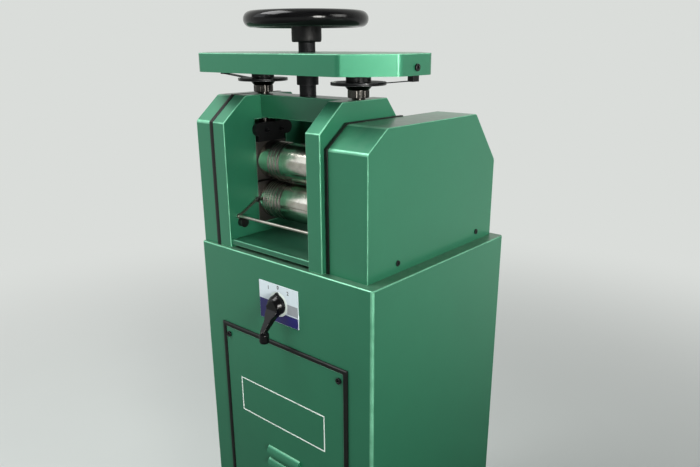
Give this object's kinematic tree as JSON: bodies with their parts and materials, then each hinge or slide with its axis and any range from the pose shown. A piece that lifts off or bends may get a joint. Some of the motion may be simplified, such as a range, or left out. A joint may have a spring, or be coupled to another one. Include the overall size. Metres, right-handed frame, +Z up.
{
  "type": "electric rolling mill",
  "caption": "Floor-standing motor-driven jeweller's rolling mill: enamelled cabinet, geared steel rolls for sheet and wire, and a handwheel that sets the roll gap.",
  "frame": {"origin": "middle of the cabinet's base, on the floor", "axes": "+Z up, +X to the right seen from the front, +Y to the back"},
  "size_m": [0.4275, 0.426, 1.2195],
  "materials": {
    "green_enamel": "semi-gloss green enamel",
    "bare_steel": "machined",
    "polished_steel": "ground and polished",
    "black_steel": "blackened",
    "rubber": "matte",
    "cast_iron": "as cast, turned",
    "grey_enamel": "grey enamel",
    "black_plastic": "satin",
    "bakelite": "glossy black",
    "printed_plate": "printed"
  },
  "bodies": {
    "frame": {"cabinet_shell": "green_enamel", "base_pan": "green_enamel", "bed_plate": "bare_steel", "cable_gland": "black_plastic", "access_panel": "green_enamel", "panel_gasket": "rubber", "panel_screws": "black_steel", "switch_plate": "printed_plate", "switch_body": "black_plastic", "motor_shelf": "bare_steel", "motor": "grey_enamel", "gear_reducer": "grey_enamel", "drive_belt": "rubber", "left_column": "green_enamel", "right_column": "green_enamel", "column_bolts": "black_steel", "bridge": "green_enamel", "base_plate": "green_enamel", "base_packing": "rubber", "rear_guard": "green_enamel", "left_cover": "green_enamel", "left_cover_trim": "rubber", "gear_cover": "green_enamel", "gear_cover_trim": "rubber", "cover_blocks": "bare_steel", "cover_screws": "black_steel", "lower_bearing_blocks": "cast_iron", "guard_pivots": "black_steel", "guard_stops": "rubber"},
    "lower_roll_set": {"lower_roll": "polished_steel", "lower_roll_gear": "bare_steel", "bull_gear": "bare_steel"},
    "pinion_set": {"pinion_shaft": "polished_steel", "driven_pulley": "cast_iron"},
    "output_set": {"output_shaft": "polished_steel", "drive_pulley": "cast_iron"},
    "carriage": {"case_cover": "green_enamel", "case_plate": "bare_steel", "case_screws": "black_steel", "dial_pointers": "black_steel", "upper_bearing_blocks": "cast_iron", "lift_brackets": "black_steel", "bracket_bolts": "polished_steel"},
    "wheel_set": {"centre_shaft": "black_steel", "centre_gear": "bare_steel", "handwheel": "bakelite", "wheel_nut": "polished_steel"},
    "left_screw_set": {"left_screw": "polished_steel", "left_screw_gear": "bare_steel", "left_dial": "black_steel"},
    "right_screw_set": {"right_screw": "polished_steel", "right_screw_gear": "bare_steel", "right_dial": "black_steel"},
    "upper_roll_set": {"upper_roll": "polished_steel", "upper_roll_gear": "bare_steel"},
    "guard": {"guard_bar": "polished_steel"},
    "switch": {"switch_lever": "black_plastic"}
  },
  "joints": [
    {"name": "roll_spin", "type": "hinge", "parent": "frame", "child": "lower_roll_set", "pos_m": [-0.0275, -0.077, 0.918], "axis": [1, 0, 0], "continuous": true},
    {"name": "pinion_spin", "type": "hinge", "parent": "frame", "child": "pinion_set", "pos_m": [0.1, 0.00334, 0.94724], "axis": [1, 0, 0], "continuous": true},
    {"name": "output_spin", "type": "hinge", "parent": "frame", "child": "output_set", "pos_m": [0.12, 0.00334, 0.52], "axis": [1, 0, 0], "continuous": true},
    {"name": "gap_slide", "type": "slide", "parent": "frame", "child": "carriage", "axis": [0, 0, 1], "range_m": [-0.0017, 0.006]},
    {"name": "wheel_spin", "type": "hinge", "parent": "carriage", "child": "wheel_set", "pos_m": [-0.0275, -0.077, 1.2075], "axis": [0, 0, 1], "range_deg": [-205, 721]},
    {"name": "left_screw_spin", "type": "hinge", "parent": "carriage", "child": "left_screw_set", "pos_m": [-0.1315, -0.077, 1.1305], "axis": [0, 0, 1], "range_deg": [-721, 205]},
    {"name": "right_screw_spin", "type": "hinge", "parent": "carriage", "child": "right_screw_set", "pos_m": [0.0765, -0.077, 1.1305], "axis": [0, 0, 1], "range_deg": [-721, 205]},
    {"name": "upper_roll_spin", "type": "hinge", "parent": "carriage", "child": "upper_roll_set", "pos_m": [-0.0275, -0.077, 0.985], "axis": [1, 0, 0], "continuous": true},
    {"name": "guard_swing", "type": "hinge", "parent": "frame", "child": "guard", "pos_m": [-0.0275, -0.117, 0.922], "axis": [-1, 0, 0], "range_deg": [0, 70]},
    {"name": "switch_turn", "type": "hinge", "parent": "frame", "child": "switch", "pos_m": [0, -0.181, 0.782], "axis": [0, 1, 0], "range_deg": [-45, 45]}
  ],
  "couplings": [
    {"joint": "upper_roll_spin", "follows": "roll_spin", "ratio": -1},
    {"joint": "pinion_spin", "follows": "roll_spin", "ratio": -2.8},
    {"joint": "output_spin", "follows": "roll_spin", "ratio": -9.0946},
    {"joint": "wheel_spin", "follows": "gap_slide", "rad_per_m": 2094.4},
    {"joint": "left_screw_spin", "follows": "gap_slide", "rad_per_m": -2094.4},
    {"joint": "right_screw_spin", "follows": "gap_slide", "rad_per_m": -2094.4}
  ]
}
